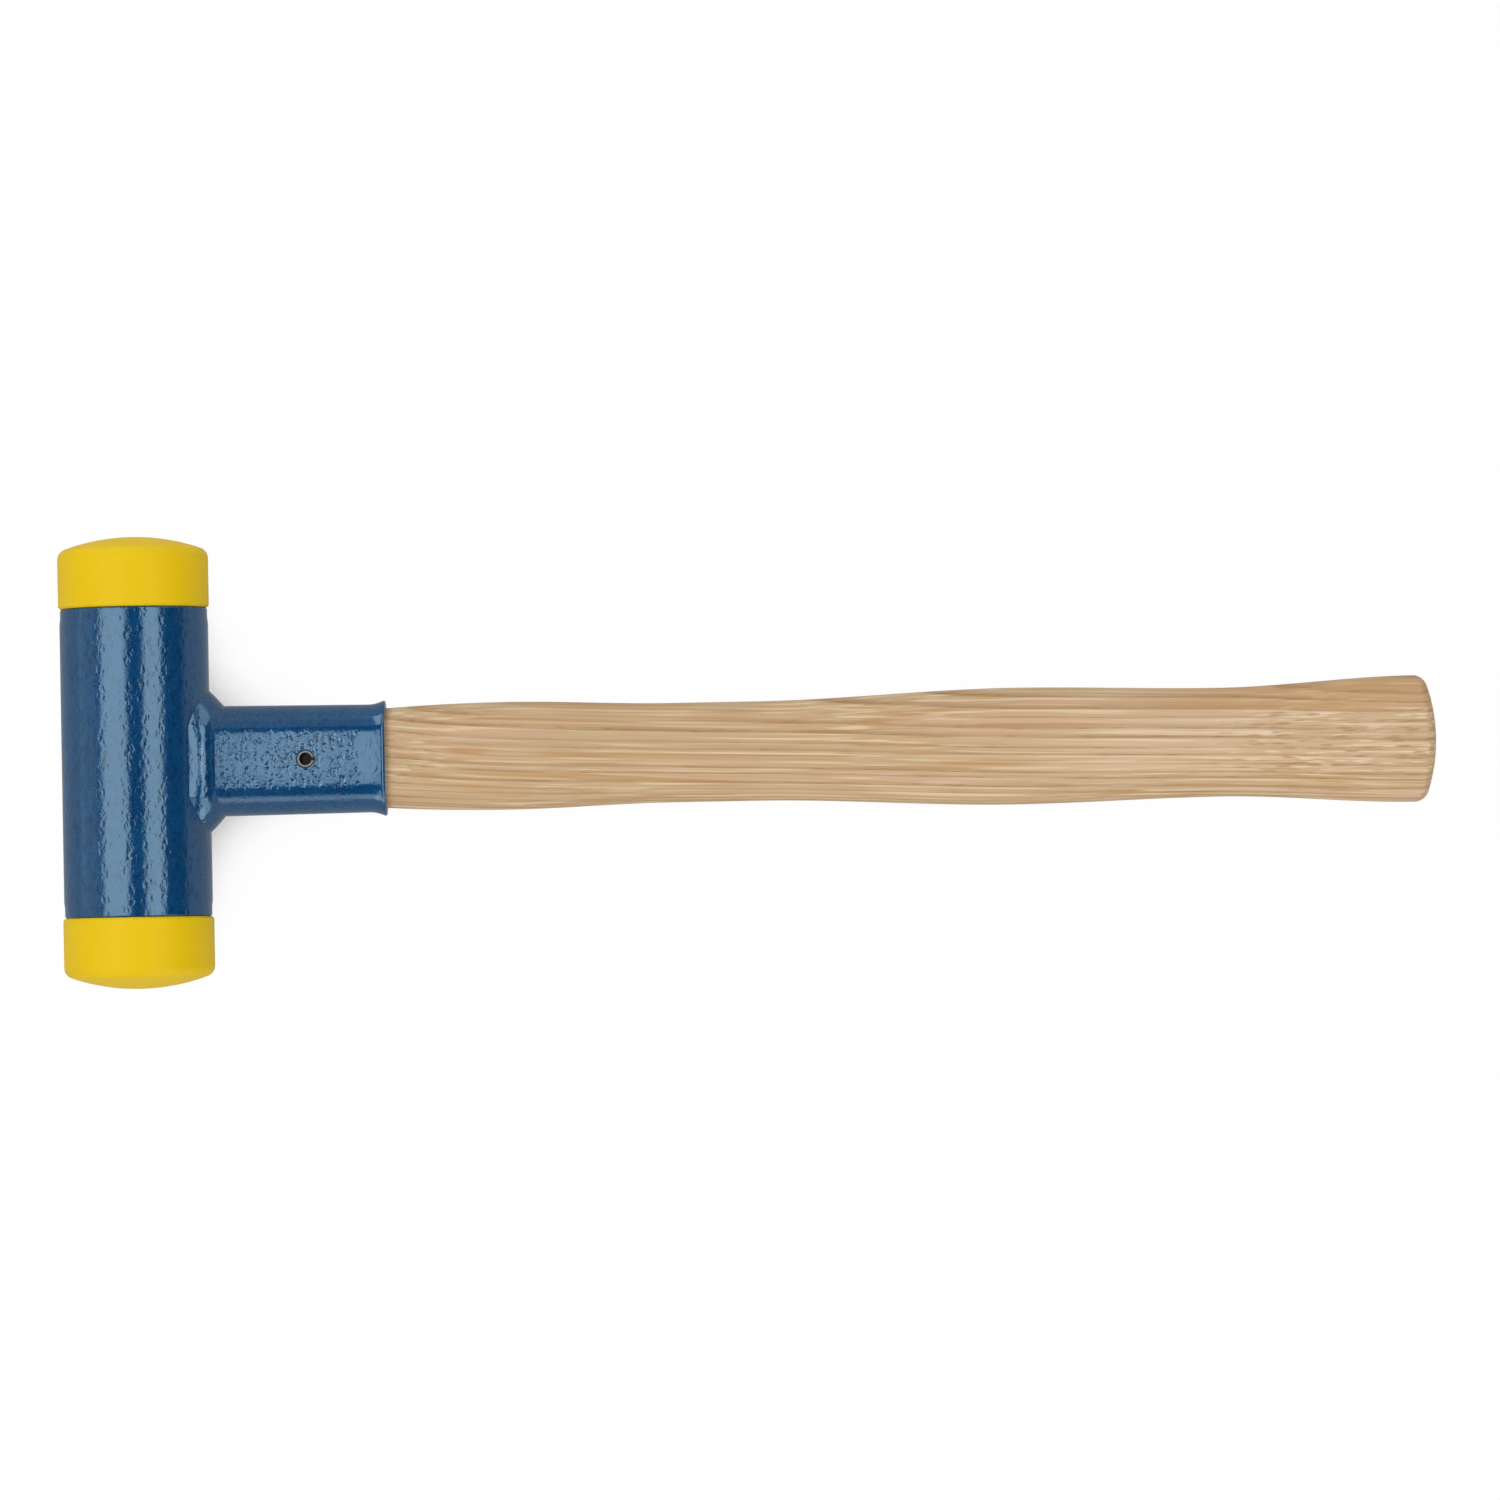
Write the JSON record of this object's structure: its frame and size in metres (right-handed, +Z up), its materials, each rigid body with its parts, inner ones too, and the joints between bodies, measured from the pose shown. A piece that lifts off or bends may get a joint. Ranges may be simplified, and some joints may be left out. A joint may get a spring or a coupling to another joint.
{
  "type": "dead blow hammer",
  "caption": "Dead blow hammer with a shot-filled steel barrel, crowned replaceable soft faces, a welded handle socket and a shaped hickory handle.",
  "frame": {"origin": "on the surface that the hammer lies on, below the middle of its outline", "axes": "+X along the handle towards the butt, +Y along the barrel, +Z up"},
  "size_m": [0.365, 0.12, 0.04],
  "materials": {
    "blue_enamel": "blue hammertone enamel, half gloss",
    "yellow_polyurethane": "cast polyurethane, satin",
    "hickory": "sanded and lightly oiled",
    "spring_steel": "plain rolled spring steel",
    "disc_steel": "punched sheet",
    "shot_steel": "tumbled balls"
  },
  "bodies": {
    "hammer": {"barrel": "blue_enamel", "handle_socket": "blue_enamel", "socket_weld": "blue_enamel", "chamber_disc_a": "disc_steel", "chamber_disc_b": "disc_steel", "spring_pin": "spring_steel", "handle": "hickory"},
    "shot_charge": {"steel_shot": "shot_steel"},
    "face_a": {"face_insert_a": "yellow_polyurethane"},
    "face_b": {"face_insert_b": "yellow_polyurethane"}
  },
  "joints": [
    {"name": "shot_slide", "type": "slide", "parent": "hammer", "child": "shot_charge", "axis": [0, 1, 0], "range_m": [-0.0054, 0.0054]},
    {"name": "face_a_pull", "type": "slide", "parent": "hammer", "child": "face_a", "axis": [0, 1, 0], "range_m": [0, 0.018]},
    {"name": "face_b_pull", "type": "slide", "parent": "hammer", "child": "face_b", "axis": [0, -1, 0], "range_m": [0, 0.018]}
  ]
}
